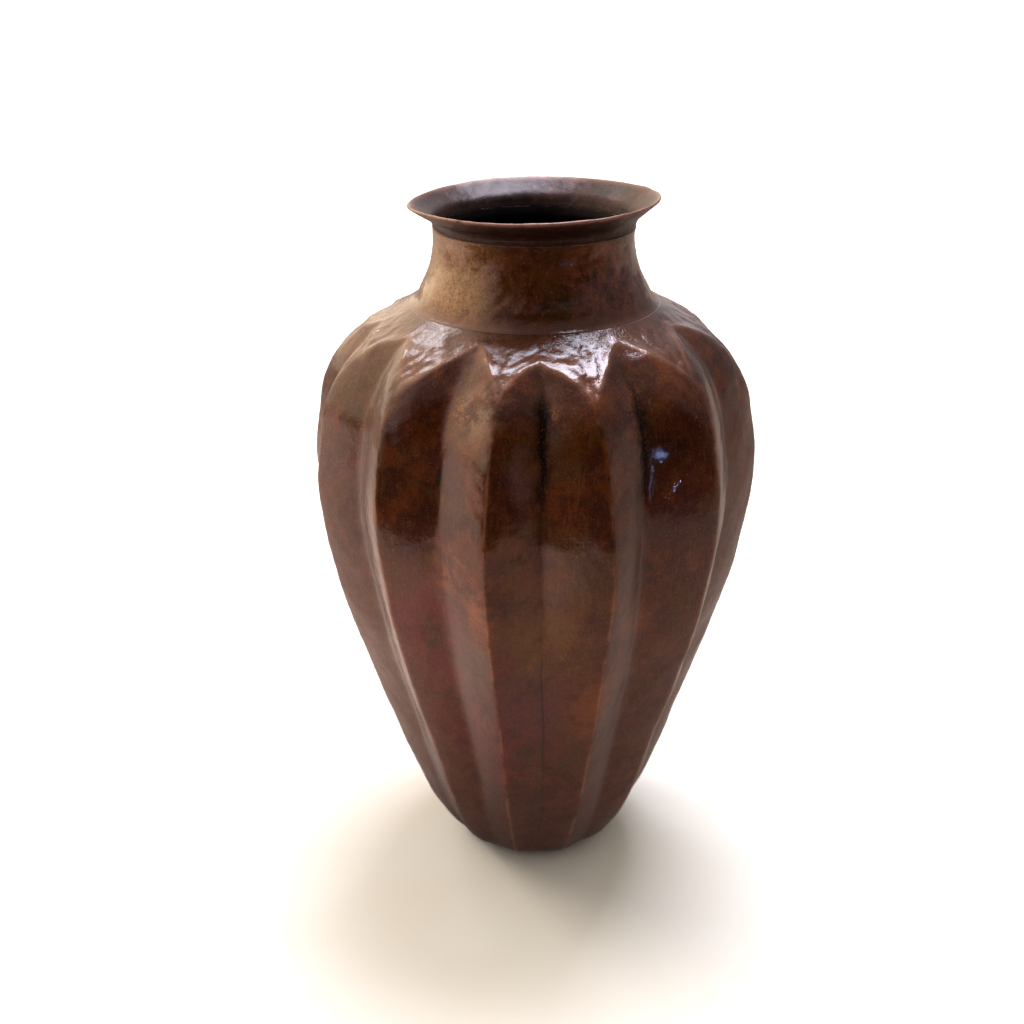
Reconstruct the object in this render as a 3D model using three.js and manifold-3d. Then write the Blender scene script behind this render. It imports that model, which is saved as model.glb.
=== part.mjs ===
// A free-standing vase beaten from copper sheet, in millimetres, with +Z up.
//
// The origin is the centre of the foot's underside, and the side seam faces -Y.
// Angles run from -Y towards +X. Twelve V-shaped flutes climb the body from the foot and
// end in round arches on a plain shoulder. The neck, the flared lip and the bottom disc are
// pieces of sheet of their own, let into one another and soldered.
import * as THREE from "three";
import { mergeVertices } from "three/addons/utils/BufferGeometryUtils.js";
import Module from "manifold-3d";

// ---- Driving dimensions ----
const HEIGHT = 254; // foot plane to the lip's upper edge
const SHEET = 1.0; // thickness of every sheet piece
const FIT = 0.3; // clearance between neighbouring pieces
const COLUMNS_PER_FLUTE = 4; // wall columns across one flute
const RING_SEGMENTS = 48; // segments of every round piece

// The line of the flutes' ridges, as [height, radius] from the foot to the neck joint.
const BELLY_RADIUS = 80;
const NECK_JOINT_HEIGHT = 219.6;
const NECK_FOOT_RADIUS = 43.4;
const RIDGE_LINE = [
  [0, 32], [25.4, 45.7], [66, 58.9], [116.8, 73.7], [157.5, BELLY_RADIUS], [185.4, 76.8],
  [195, 73.6], [203.2, 68.2], [208, 62.8], [212, 57.2], [216, 49.3],
  [NECK_JOINT_HEIGHT, NECK_FOOT_RADIUS],
];
const FOOT_ROUND_HEIGHT = 12.7; // below this the wall tucks in under the foot
const FOOT_TUCK = 6.8;
const FOOT_LIFT = 0.3; // the wall's lower edge stays this far above the rest plane

// Angles of the twelve ridges, in degrees, divided by hand and so not quite even.
const RIDGE_ANGLES = [-13, 17, 47.2, 81, 109, 139, 170, 202, 234, 266, 289.5, 319.5];
// How far the top of each ridge leans off its line, in degrees, and where that starts.
const RIDGE_TOP_LEANS = [0.8, -3, 0, 0, 0.6, -0.5, 0, 0.8, 0, -0.6, 0, -2];
const TOP_LEAN_START = 150;
// How far the valley after each ridge lies off the middle of its flute, at full height.
const VALLEY_LEANS = [-2, -4, 0.5, -1, 1, 0.5, -1.5, 1, 0, 1, 0, 0];
const LEAN_FULL_HEIGHT = 150;
const FLUTE_DEPTH = 9.3;
const FLUTE_FULL_HEIGHT = 150; // the flutes are shallower below this
const FLUTE_TAPER = 0.52; // power of that taper
const ARCH_APEX = 214.5; // height of an arch at its top
const ARCH_SPRING = 205.5; // height of an arch at the ridges on both sides
const ARCH_POINTEDNESS = 0.4; // 0 is a round arch, 1 a gable
const ARCH_HOLLOW = 9; // distance below an arch over which its flute deepens
// How much higher the arch after each ridge reaches, and how its top lies off the middle:
// 1 puts it in the middle and a larger power nearer to the next ridge.
const ARCH_LIFTS = [0, 1.4, 0.6, 1.4, 0.4, 1.8, 0.8, 0.2, 1.6, 0.6, 0, 2.6];
const ARCH_SKEWS = [0.9, 1.25, 1, 1.1, 0.9, 1, 1.2, 0.9, 1, 1.1, 1, 1.5];

// Neck: a collar that flares down to the shoulder.
const NECK_TOP_RADIUS = 34.1;
const NECK_FLARE = 2.4; // power of the neck's hollow curve
const NECK_EASE_HEIGHT = 6; // over this it eases from the slope of the shoulder
const NECK_EASE_SLOPE = 0.75; // how much more it slopes at its foot
const NECK_LAP = 4.4; // height of the body's edge that laps inside the neck

// Lip: a flared mouth whose tail slips inside the neck.
const RIM_RADIUS = 42.3;
const LIP_ROOT_RADIUS = 34.3;
const LIP_BEND = 4.5; // radius of the bend at the lip's root
const LIP_FLARE = THREE.MathUtils.degToRad(55); // from the vertical
const LIP_TAIL = 5.5; // length of the tail inside the neck

const DISC_RADIUS = 24.4;
const DISC_THICKNESS = 1.2;

const SEAM_SLIT = 0.3;
const SEAM_BEAD_WIDTH = 3;
const SEAM_BEAD_THICKNESS = 0.8;
const SEAM_BEAD_FOOT = 8;
const SEAM_BEAD_TOP = 205;

const flutes = RIDGE_ANGLES.length;
const lipReach = RIM_RADIUS - LIP_ROOT_RADIUS;
const lipStraight = (lipReach - LIP_BEND * (1 - Math.cos(LIP_FLARE))) / Math.sin(LIP_FLARE);
const lipRise = (LIP_BEND + SHEET) * Math.sin(LIP_FLARE) + lipStraight * Math.cos(LIP_FLARE);
const lipSeat = HEIGHT - lipRise; // underside of the lip's root
const neckTop = lipSeat - FIT;

// ---- Outlines ----

// A smooth curve through [height, radius] knots, as a function of height.
function smoothThrough(knots) {
  const last = knots.length - 1;
  const slope = (i) => {
    const below = knots[Math.max(i - 1, 0)];
    const above = knots[Math.min(i + 1, last)];
    return (above[1] - below[1]) / (above[0] - below[0]);
  };
  return (height) => {
    const inside = THREE.MathUtils.clamp(height, knots[0][0], knots[last][0]);
    const i = Math.min(knots.findLastIndex((knot) => knot[0] <= inside), last - 1);
    const step = knots[i + 1][0] - knots[i][0];
    const t = (inside - knots[i][0]) / step;
    const rise = t * t * (3 - 2 * t);
    return knots[i][1] * (1 - rise) + knots[i + 1][1] * rise
      + step * slope(i) * t * (1 - t) ** 2 - step * slope(i + 1) * t * t * (1 - t);
  };
}

const ridgeLine = smoothThrough(RIDGE_LINE);

function ridgeRadius(height) {
  const tuck = Math.max(0, 1 - height / FOOT_ROUND_HEIGHT);
  return ridgeLine(height) - FOOT_TUCK * tuck ** 4;
}

// Height of the arch line of a flute; along runs from 0 at its ridge to 1 at the next.
function archHeight(flute, along) {
  const offTop = Math.abs(1 - 2 * along ** ARCH_SKEWS[flute]);
  const fall = ARCH_POINTEDNESS * offTop + (1 - ARCH_POINTEDNESS) * offTop ** 3;
  const apex = ARCH_APEX + ARCH_LIFTS[flute];
  return apex - (apex - ARCH_SPRING) * fall;
}

// Radius of the wall; across is 0 in a valley and 1 on a ridge.
function bodyRadius(across, arch, height) {
  const below = Math.max(0, arch - height);
  const hollow = 1 - Math.exp(-below / ARCH_HOLLOW);
  const climb = (height - FOOT_LIFT) / (FLUTE_FULL_HEIGHT - FOOT_LIFT);
  const taper = THREE.MathUtils.clamp(climb, 0, 1) ** FLUTE_TAPER;
  return ridgeRadius(height) - FLUTE_DEPTH * hollow * taper * (1 - across);
}

function neckRadius(height) {
  const down = Math.max(0, (lipSeat - height) / (lipSeat - NECK_JOINT_HEIGHT));
  const hollow = (NECK_FOOT_RADIUS - NECK_TOP_RADIUS) * down ** NECK_FLARE;
  const up = Math.min(1, (height - NECK_JOINT_HEIGHT) / NECK_EASE_HEIGHT);
  return NECK_TOP_RADIUS + hollow - NECK_EASE_SLOPE * NECK_EASE_HEIGHT * up * (1 - up) ** 2;
}

// The point at a distance inside a curve of points (x radius, y height) that climbs.
function inset(curve, t, distance) {
  const nudge = 1e-3;
  const below = curve(Math.max(0, t - nudge));
  const above = curve(Math.min(1, t + nudge));
  const along = above.sub(below).normalize();
  return curve(t).add(new THREE.Vector2(-along.y, along.x).multiplyScalar(distance));
}

// A point at a distance inside the neck's surface.
function neckPoint(height, distance) {
  const curve = (t) => {
    const level = THREE.MathUtils.lerp(NECK_JOINT_HEIGHT, lipSeat, t);
    return new THREE.Vector2(neckRadius(level), level);
  };
  return inset(curve, (height - NECK_JOINT_HEIGHT) / (lipSeat - NECK_JOINT_HEIGHT), distance);
}

// The same between two heights.
function neckSurface(from, to, distance, steps) {
  const points = [];
  for (let i = 0; i <= steps; i += 1) {
    points.push(neckPoint(THREE.MathUtils.lerp(from, to, i / steps), distance));
  }
  return points;
}

// ---- Solids ----

// A ring turned from a closed outline that runs up its outside and down its inside.
function ring(outline) {
  const closed = [...outline, outline[0].clone()];
  return new THREE.LatheGeometry(closed, RING_SEGMENTS).rotateX(Math.PI / 2);
}

const point = (radius, height) => new THREE.Vector2(radius, height);

// How far a ridge leans off its line at a height, in degrees.
function ridgeLean(ridge, height) {
  const climb = (height - TOP_LEAN_START) / (ARCH_SPRING - TOP_LEAN_START);
  return RIDGE_TOP_LEANS[ridge % flutes] * THREE.MathUtils.clamp(climb, 0, 1);
}

// One wall column at a height: its angle in radians, how far it is from the valley (0) to a
// ridge (1), and the height of the arch line there.
function columnAt(column, height) {
  const flute = Math.floor(column / COLUMNS_PER_FLUTE) % flutes;
  const turn = column >= flutes * COLUMNS_PER_FLUTE ? 360 : 0;
  const start = RIDGE_ANGLES[flute];
  const end = flute + 1 < flutes ? RIDGE_ANGLES[flute + 1] : RIDGE_ANGLES[0] + 360;
  const lean = VALLEY_LEANS[flute] * THREE.MathUtils.clamp(height / LEAN_FULL_HEIGHT, 0.25, 1);
  const valley = (start + end) / 2 + lean;
  const along = (column % COLUMNS_PER_FLUTE) / COLUMNS_PER_FLUTE;
  const across = Math.abs(1 - 2 * along);
  const side = along < 0.5
    ? start + ridgeLean(flute, height)
    : end + ridgeLean(flute + 1, height);
  const degrees = valley + (side - valley) * across;
  const arch = archHeight(flute, along);
  return { angle: THREE.MathUtils.degToRad(degrees + turn), across, arch };
}

// Stations up the fluted wall: part 0 runs from the foot to the arch line and part 1 from
// there to the neck joint.
function wallStations() {
  const fluteSteps = 22;
  const shoulderSteps = 4;
  const stations = [];
  for (let i = 0; i <= fluteSteps; i += 1) {
    stations.push({ part: 0, t: (1 - Math.cos((Math.PI * i) / fluteSteps)) / 2 });
  }
  for (let i = 1; i <= shoulderSteps; i += 1) {
    stations.push({ part: 1, t: i / shoulderSteps });
  }
  return stations;
}

// The point of a wall column at a station, or at a distance inside it.
function wallPoint(station, { across, arch }, distance) {
  const [from, to] = station.part === 0 ? [FOOT_LIFT, arch] : [arch, NECK_JOINT_HEIGHT];
  const curve = (t) => {
    const height = THREE.MathUtils.lerp(from, to, t);
    return new THREE.Vector2(bodyRadius(across, arch, height), height);
  };
  return inset(curve, station.t, distance);
}

// The same in the front valley, at a height.
function valleyPoint(height, distance) {
  const valley = columnAt(COLUMNS_PER_FLUTE / 2, height);
  const t = (height - FOOT_LIFT) / (valley.arch - FOOT_LIFT);
  return wallPoint({ part: 0, t }, valley, distance);
}

function toSolid(wasm, geometry) {
  geometry.deleteAttribute("normal");
  geometry.deleteAttribute("uv");
  const merged = mergeVertices(geometry, 1e-4);
  const vertProperties = new Float32Array(merged.attributes.position.array);
  const triVerts = new Uint32Array(merged.index.array);
  return new wasm.Manifold(new wasm.Mesh({ numProp: 3, vertProperties, triVerts }));
}

function toGeometry(solid) {
  const mesh = solid.getMesh();
  const geometry = new THREE.BufferGeometry();
  geometry.setAttribute("position", new THREE.BufferAttribute(mesh.vertProperties, 3));
  geometry.setIndex(new THREE.BufferAttribute(mesh.triVerts, 1));
  geometry.computeVertexNormals();
  return geometry;
}

// The fluted wall: a turned ring whose points are moved onto the flutes, split from top to
// bottom by the side seam. Its upper edge laps inside the neck.
function flutedBody(wasm) {
  const stations = wallStations();
  const lapSteps = 5;
  const lapInset = SHEET + FIT;
  const lapTop = NECK_JOINT_HEIGHT + NECK_LAP;
  const lap = (distance) => neckSurface(NECK_JOINT_HEIGHT, lapTop, distance, lapSteps);
  const outside = stations.map((station) => (column) => wallPoint(station, column, 0));
  const inside = stations.map((station) => (column) => wallPoint(station, column, SHEET));
  inside.pop();
  const outerLap = lap(lapInset).map((spot) => () => spot);
  const innerLap = lap(lapInset + SHEET).map((spot) => () => spot);
  const outline = [...outside, ...outerLap, ...innerLap.reverse(), ...inside.reverse()];
  outline.push(outline[0]);

  const columns = flutes * COLUMNS_PER_FLUTE;
  const ridge = columnAt(0, 0);
  const geometry = new THREE.LatheGeometry(outline.map((spot) => spot(ridge)), columns);
  const positions = geometry.attributes.position;
  for (let i = 0; i < positions.count; i += 1) {
    const column = Math.floor(i / outline.length);
    const spot = outline[i % outline.length];
    const level = spot(columnAt(column, 0));
    const { angle } = columnAt(column, level.y);
    positions.setXYZ(i, level.x * Math.sin(angle), -level.x * Math.cos(angle), level.y);
  }
  const slit = new THREE.BoxGeometry(SEAM_SLIT, BELLY_RADIUS, HEIGHT);
  slit.translate(0, -(DISC_RADIUS + BELLY_RADIUS) / 2, HEIGHT / 2 - SHEET);
  return toGeometry(toSolid(wasm, geometry).subtract(toSolid(wasm, slit)));
}

function neckCollar() {
  const foot = NECK_JOINT_HEIGHT + FIT / 2;
  const steps = 16;
  const outside = neckSurface(foot, neckTop, 0, steps);
  const inside = neckSurface(foot, neckTop, SHEET, steps);
  return ring([...outside, ...inside.reverse()]);
}

function lipFlange() {
  const bendSteps = 4;
  const surface = (distance) => {
    const points = [];
    for (let i = 0; i <= bendSteps; i += 1) {
      const turn = (LIP_FLARE * i) / bendSteps;
      const reach = LIP_BEND + distance;
      points.push(point(
        LIP_ROOT_RADIUS + LIP_BEND - reach * Math.cos(turn),
        lipSeat + reach * Math.sin(turn),
      ));
    }
    const outward = point(Math.sin(LIP_FLARE), Math.cos(LIP_FLARE));
    points.push(points[bendSteps].clone().addScaledVector(outward, lipStraight));
    return points;
  };
  const tailRadius = NECK_TOP_RADIUS - SHEET - FIT;
  const underside = surface(0);
  const mouth = surface(SHEET).slice(1).reverse();
  return ring([
    point(tailRadius, neckTop - LIP_TAIL),
    point(tailRadius, lipSeat),
    ...underside,
    ...mouth,
    point(tailRadius - SHEET, lipSeat - SHEET),
    point(tailRadius - SHEET, neckTop - LIP_TAIL),
  ]);
}

function baseDisc() {
  const outline = [
    point(0, 0), point(DISC_RADIUS, 0),
    point(DISC_RADIUS, DISC_THICKNESS), point(0, DISC_THICKNESS),
  ];
  return new THREE.LatheGeometry(outline, RING_SEGMENTS).rotateX(Math.PI / 2);
}

// Solder drawn round under the lip, where it stands on the neck.
function lipSolderBead() {
  const beadHeight = 1.1;
  const beadReach = 0.55;
  const inner = NECK_TOP_RADIUS + FIT;
  const top = neckTop;
  return ring([
    point(inner, top - beadHeight),
    point(inner + beadReach * 0.8, top - beadHeight * 0.7),
    point(inner + beadReach, top - beadHeight * 0.35),
    point(inner + beadReach * 0.8, top),
    point(inner, top),
  ]);
}

// Solder inside the neck, along the edge of the body that laps it.
function neckSolderFillet() {
  const filletHeight = 2.4;
  const steps = 2;
  const foot = NECK_JOINT_HEIGHT + NECK_LAP + FIT;
  const outside = neckSurface(foot, foot + filletHeight, SHEET + FIT, steps);
  return ring([...outside, neckPoint(foot, 2 * SHEET + FIT)]);
}

// Solder inside the foot, between the bottom disc and the wall.
function baseSolderFillet() {
  const filletHeight = 4.5;
  const filletWidth = 2;
  const bottom = DISC_THICKNESS + FIT;
  const inner = DISC_RADIUS - filletWidth;
  return ring([
    point(DISC_RADIUS - FIT, bottom),
    valleyPoint(filletHeight, SHEET + 1.5 * FIT),
    point(DISC_RADIUS + SHEET, bottom + 1.4 * SHEET),
    point(inner, bottom + SHEET / 2),
    point(inner, bottom),
  ]);
}

// Solder run down the inside of the side seam, along the crest of the front valley.
function sideSeamSolder() {
  const section = new THREE.Shape();
  section.absellipse(0, 0, SEAM_BEAD_WIDTH / 2, SEAM_BEAD_THICKNESS / 2, 0, 2 * Math.PI);
  const path = [];
  const steps = 16;
  const clearance = SHEET + FIT + SEAM_BEAD_THICKNESS / 2;
  for (let i = 0; i <= steps; i += 1) {
    const height = THREE.MathUtils.lerp(SEAM_BEAD_FOOT, SEAM_BEAD_TOP, i / steps);
    const spot = valleyPoint(height, clearance);
    path.push(new THREE.Vector3(0, -spot.x, spot.y));
  }
  return new THREE.ExtrudeGeometry(section, {
    steps: 2 * steps,
    curveSegments: 8,
    extrudePath: new THREE.CatmullRomCurve3(path),
  });
}

// ---- Materials ----

function metal(colour, roughness, metalness) {
  return new THREE.MeshStandardMaterial({ color: colour, roughness, metalness });
}

const patina = () => metal(0x4e2d20, 0.34, 0.85);
const neckPatina = () => metal(0x5d3d22, 0.38, 0.85);
const lipPatina = () => metal(0x69463a, 0.36, 0.85);
const bareCopper = () => metal(0x7a4a34, 0.5, 0.9);
const solder = () => metal(0x6e6350, 0.45, 0.9);

// ---- Assembly ----

const wasm = await Module();
wasm.setup();

const pieces = {
  fluted_body: [flutedBody(wasm), patina()],
  neck_collar: [neckCollar(), neckPatina()],
  lip_flange: [lipFlange(), lipPatina()],
  base_disc: [baseDisc(), bareCopper()],
  side_seam_solder: [sideSeamSolder(), solder()],
  neck_solder_fillet: [neckSolderFillet(), solder()],
  lip_solder_bead: [lipSolderBead(), solder()],
  base_solder_fillet: [baseSolderFillet(), solder()],
};

const vase = new THREE.Group();
for (const [name, [geometry, material]] of Object.entries(pieces)) {
  const mesh = new THREE.Mesh(geometry, material);
  mesh.name = name;
  vase.add(mesh);
}

export default vase;
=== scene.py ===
"""Looks for the hammered, fluted copper vase.

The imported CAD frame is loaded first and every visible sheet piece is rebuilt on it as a
fine mesh: hand-divided flutes, planishing marks, a waved lip and a soldered seam are real
shape, and the patina, rub wear and lacquer are procedural. Lengths in the shape constants
and the materials are millimetres, angles are degrees from -Y towards +X, and meshes, lamps
and the camera are in metres.
"""
import math

import bpy
import numpy as np
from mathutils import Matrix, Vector, kdtree


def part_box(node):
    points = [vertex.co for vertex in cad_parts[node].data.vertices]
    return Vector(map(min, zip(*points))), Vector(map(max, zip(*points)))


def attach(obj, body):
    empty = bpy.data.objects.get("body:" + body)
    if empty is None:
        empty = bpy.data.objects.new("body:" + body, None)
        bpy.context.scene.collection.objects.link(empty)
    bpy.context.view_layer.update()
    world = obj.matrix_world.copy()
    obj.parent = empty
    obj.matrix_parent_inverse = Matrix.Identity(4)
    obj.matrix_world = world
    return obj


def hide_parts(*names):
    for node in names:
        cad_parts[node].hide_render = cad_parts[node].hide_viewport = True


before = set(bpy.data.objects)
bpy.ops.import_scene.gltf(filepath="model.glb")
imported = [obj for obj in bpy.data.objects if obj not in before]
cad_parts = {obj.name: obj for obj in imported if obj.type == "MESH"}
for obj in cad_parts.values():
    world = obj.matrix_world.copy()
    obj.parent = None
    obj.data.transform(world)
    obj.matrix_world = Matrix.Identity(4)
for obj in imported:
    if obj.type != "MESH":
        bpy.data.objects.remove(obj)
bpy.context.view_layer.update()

MM = 0.001


# ---- Sizes taken from the frame ----

def low(node, axis):
    """Lowest coordinate of a CAD node, in millimetres."""
    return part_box(node)[0][axis] / MM


def high(node, axis):
    """Highest coordinate of a CAD node, in millimetres."""
    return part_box(node)[1][axis] / MM


X, Z = 0, 2
HEIGHT = high("lip_flange", Z)
RIM_RADIUS = high("lip_flange", X)
LIP_TAIL_FOOT = low("lip_flange", Z)
NECK_TOP = high("neck_collar", Z)
DISC_RADIUS = high("base_disc", X)
DISC_THICKNESS = high("base_disc", Z)
FOOT_LIFT = low("fluted_body", Z)

# ---- Shape ----

SHEET = 1.0
BELLY_RADIUS = 80.0
NECK_JOINT = 219.6
NECK_FOOT_RADIUS = 43.4
RIDGE_LINE = [
    (0, 32), (25.4, 45.7), (66, 58.9), (116.8, 73.7), (157.5, BELLY_RADIUS), (185.4, 76.8),
    (195, 73.6), (203.2, 68.2), (208, 62.8), (212, 57.2), (216, 49.3), (NECK_JOINT, NECK_FOOT_RADIUS),
]
FOOT_ROUND_HEIGHT = 12.7
FOOT_TUCK = 6.8
RIDGE_ANGLES = [-13, 17, 47.2, 81, 109, 139, 170, 202, 234, 266, 289.5, 319.5]
RIDGE_TOP_LEANS = [0.8, -3, 0, 0, 0.6, -0.5, 0, 0.8, 0, -0.6, 0, -2]
TOP_LEAN_START = 150.0
VALLEY_LEANS = [-2, -4, 0.5, -1, 1, 0.5, -1.5, 1, 0, 1, 0, 0]
LEAN_FULL_HEIGHT = 150.0
FLUTE_DEPTH = 9.3
FLUTE_FULL_HEIGHT = 150.0
FLUTE_TAPER = 0.52
ARCH_APEX = 214.5
ARCH_SPRING = 205.5
ARCH_POINTEDNESS = 0.4
ARCH_HOLLOW = 9.0
ARCH_LIFTS = [0, 1.4, 0.6, 1.4, 0.4, 1.8, 0.8, 0.2, 1.6, 0.6, 0, 2.6]
ARCH_SKEWS = [0.9, 1.25, 1, 1.1, 0.9, 1, 1.2, 0.9, 1, 1.1, 1, 1.5]
VALLEY_SOFTNESS = 0.09
RIDGE_ROUND = 0.3
HALF_FLUTE = math.pi / len(RIDGE_ANGLES)
RIDGE_WANDER = 0.35
VALLEY_WANDER = 0.5
LAP_HEIGHT = 4.4
LAP_GAP = 0.2
# Unevenness of the sheets: seed, wavelength, number of sines, height.
WALL_WAVES = [(3, 46, 7, 0.22), (4, 17, 12, 0.11), (6, 6.5, 16, 0.035)]
SHOULDER_LUMPS = [(5, 9, 16, 0.26), (7, 4.2, 24, 0.12)]
NECK_WAVES = [(31, 60, 7, 0.18), (32, 15, 12, 0.1), (35, 6, 16, 0.04)]
LIP_WAVES = [(44, 9, 12, 0.05)]
LIP_LIFT = [(41, 75, 7, 0.4), (42, 17, 7, 0.05)]
LIP_TILT = 0.026
DISC_EDGE = 0.25
# Soot in the valley after each ridge: middle height, half height, half width, amount.
SOOT = [
    (191, 21, 3.0, 1.0), (190, 23, 2.8, 1.0), (160, 30, 2.0, 0.5), (176, 24, 2.2, 0.8),
    (150, 34, 1.8, 0.6), (182, 20, 2.2, 0.9), (165, 26, 2.0, 0.7), (178, 18, 2.4, 0.9),
    (158, 30, 1.8, 0.6), (172, 22, 2.0, 0.5), (150, 24, 1.8, 0.4), (179, 8, 1.3, 0.9),
]
NECK_TOP_RADIUS = 34.1
NECK_FLARE = 2.4
NECK_EASE_HEIGHT = 6.0
NECK_EASE_SLOPE = 0.75
LIP_ROOT_RADIUS = 34.3
LIP_BEND = 4.5
LIP_FLARE = math.radians(55)
LIP_REACH = RIM_RADIUS - LIP_ROOT_RADIUS
LIP_STRAIGHT = (LIP_REACH - LIP_BEND * (1 - math.cos(LIP_FLARE))) / math.sin(LIP_FLARE)
LIP_RISE = (LIP_BEND + SHEET) * math.sin(LIP_FLARE) + LIP_STRAIGHT * math.cos(LIP_FLARE)
LIP_SEAT = HEIGHT - LIP_RISE


def smooth_through(knots):
    """A smooth curve through (height, value) knots, as a function of an array of heights."""
    at = np.array([k[0] for k in knots], float)
    value = np.array([k[1] for k in knots], float)
    slope = np.gradient(value, at)
    slope[1:-1] = (value[2:] - value[:-2]) / (at[2:] - at[:-2])

    def curve(height):
        h = np.clip(height, at[0], at[-1])
        i = np.clip(np.searchsorted(at, h, side="right") - 1, 0, len(at) - 2)
        step = at[i + 1] - at[i]
        t = (h - at[i]) / step
        rise = t * t * (3 - 2 * t)
        bend = slope[i] * t * (1 - t) ** 2 - slope[i + 1] * t * t * (1 - t)
        return value[i] * (1 - rise) + value[i + 1] * rise + step * bend

    return curve


ridge_line = smooth_through(RIDGE_LINE)


def smoothstep(low_edge, high_edge, x):
    t = np.clip((x - low_edge) / (high_edge - low_edge), 0, 1)
    return t * t * (3 - 2 * t)


class Waves:
    """A smooth random function of two lengths, the sum of a few sines, periodic in neither."""

    def __init__(self, seed, wavelength, count=7):
        rng = np.random.default_rng(seed)
        turn = rng.uniform(0, 2 * math.pi, count)
        length = wavelength * rng.uniform(0.7, 1.5, count)
        self.kx = 2 * math.pi * np.cos(turn) / length
        self.ky = 2 * math.pi * np.sin(turn) / length
        self.kz = 2 * math.pi * np.sin(2 * turn) / length
        self.phase = rng.uniform(0, 2 * math.pi, count)

    def __call__(self, x, y, z=0.0):
        total = 0.0
        for kx, ky, kz, phase in zip(self.kx, self.ky, self.kz, self.phase):
            total = total + np.sin(kx * x + ky * y + kz * z + phase)
        return total / math.sqrt(len(self.phase))


def add_waves(onto, waves, x, y, z=0.0):
    for seed, wavelength, count, height in waves:
        onto = onto + height * Waves(seed, wavelength, count)(x, y, z)
    return onto


def ridge_radius(height):
    tuck = np.clip(1 - height / FOOT_ROUND_HEIGHT, 0, None)
    return ridge_line(height) - FOOT_TUCK * tuck**4


def arch_height(flute, place):
    """Height of the arch line, place running from 0 at a flute's ridge to 1 at the next."""
    off_top = np.abs(1 - 2 * place ** np.array(ARCH_SKEWS)[flute])
    fall = ARCH_POINTEDNESS * off_top + (1 - ARCH_POINTEDNESS) * off_top**3
    apex = ARCH_APEX + np.array(ARCH_LIFTS)[flute]
    wander = 0.8 * Waves(12, 1.7, 9)(flute + place, 0)
    return apex - (apex - ARCH_SPRING) * fall + wander * (1 - off_top**4)


def flute_depth(across, arch, height):
    """How far the wall lies inside the ridges' outline."""
    below = np.clip(arch - height, 0, None)
    hollow = 1 - np.exp(-below / ARCH_HOLLOW)
    climb = (height - FOOT_LIFT) / (FLUTE_FULL_HEIGHT - FOOT_LIFT)
    taper = np.clip(climb, 0, 1) ** FLUTE_TAPER
    soft = np.sqrt(across**2 + VALLEY_SOFTNESS**2) / math.hypot(1, VALLEY_SOFTNESS)
    depth = FLUTE_DEPTH * hollow * taper * (1 - soft)
    return np.sqrt(depth**2 + RIDGE_ROUND**2) - RIDGE_ROUND


def neck_radius(height):
    down = np.clip((LIP_SEAT - height) / (LIP_SEAT - NECK_JOINT), 0, None)
    hollow = (NECK_FOOT_RADIUS - NECK_TOP_RADIUS) * down**NECK_FLARE
    up = np.clip((height - NECK_JOINT) / NECK_EASE_HEIGHT, 0, 1)
    return NECK_TOP_RADIUS + hollow - NECK_EASE_SLOPE * NECK_EASE_HEIGHT * up * (1 - up) ** 2


# ---- Mesh density ----

COLUMNS_PER_FLUTE = 38
RIDGE_CROWDING = 0.62
WALL_ROWS = 142
SHOULDER_ROWS = 34
NECK_COLUMNS = 320
NECK_ROWS = 62
LIP_COLUMNS = 320
DISC_COLUMNS = 96
SOLDER_COLUMNS = 240


# ---- Mesh helpers ----

def outline_inset(outline, distance):
    """The outline, as rows of (radius, height), moved to its left, which is inside."""
    along = np.gradient(outline, axis=0)
    along /= np.linalg.norm(along, axis=1, keepdims=True)
    return outline + distance * np.stack([-along[:, 1], along[:, 0]], axis=1)


def turned(outline, angles):
    """A closed outline of (radius, height) rows turned through an array of angles, as a
    grid of points, columns first."""
    radius, height = outline[:, 0][None, :], outline[:, 1][None, :]
    turn = np.radians(angles)[:, None]
    return np.stack([
        radius * np.sin(turn), -radius * np.cos(turn), height + 0 * turn,
    ], axis=2)


def even_turn(columns):
    return np.arange(columns) * 360.0 / columns


def grid_normals(points):
    """Outward normals of a grid of points that closes on itself both ways."""
    round_step = np.roll(points, -1, axis=0) - np.roll(points, 1, axis=0)
    up_step = np.roll(points, -1, axis=1) - np.roll(points, 1, axis=1)
    normals = np.cross(round_step, up_step)
    return normals / np.maximum(np.linalg.norm(normals, axis=2, keepdims=True), 1e-12)


def mesh_from_grid(name, points, marks=None):
    """A closed mesh from a grid of points in millimetres that wraps round both ways. marks
    are named values per point, for the materials."""
    columns, rows = points.shape[:2]
    index = np.arange(columns * rows).reshape(columns, rows)
    right = np.roll(index, -1, axis=0)
    faces = np.stack([
        index, right, np.roll(right, -1, axis=1), np.roll(index, -1, axis=1),
    ], axis=2).reshape(-1, 4)
    mesh = bpy.data.meshes.new(name)
    mesh.vertices.add(columns * rows)
    mesh.vertices.foreach_set("co", (points * MM).astype(np.float32).ravel())
    mesh.loops.add(faces.size)
    mesh.loops.foreach_set("vertex_index", faces.astype(np.int32).ravel())
    mesh.polygons.add(len(faces))
    mesh.polygons.foreach_set("loop_start", np.arange(0, faces.size, 4, dtype=np.int32))
    mesh.polygons.foreach_set("use_smooth", np.ones(len(faces), dtype=bool))
    mesh.update(calc_edges=True)
    for mark, values in (marks or {}).items():
        layer = mesh.attributes.new(mark, "FLOAT", "POINT")
        layer.data.foreach_set("value", values.astype(np.float32).ravel())
    mesh.validate()
    piece = bpy.data.objects.new(name, mesh)
    bpy.context.scene.collection.objects.link(piece)
    return piece


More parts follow.
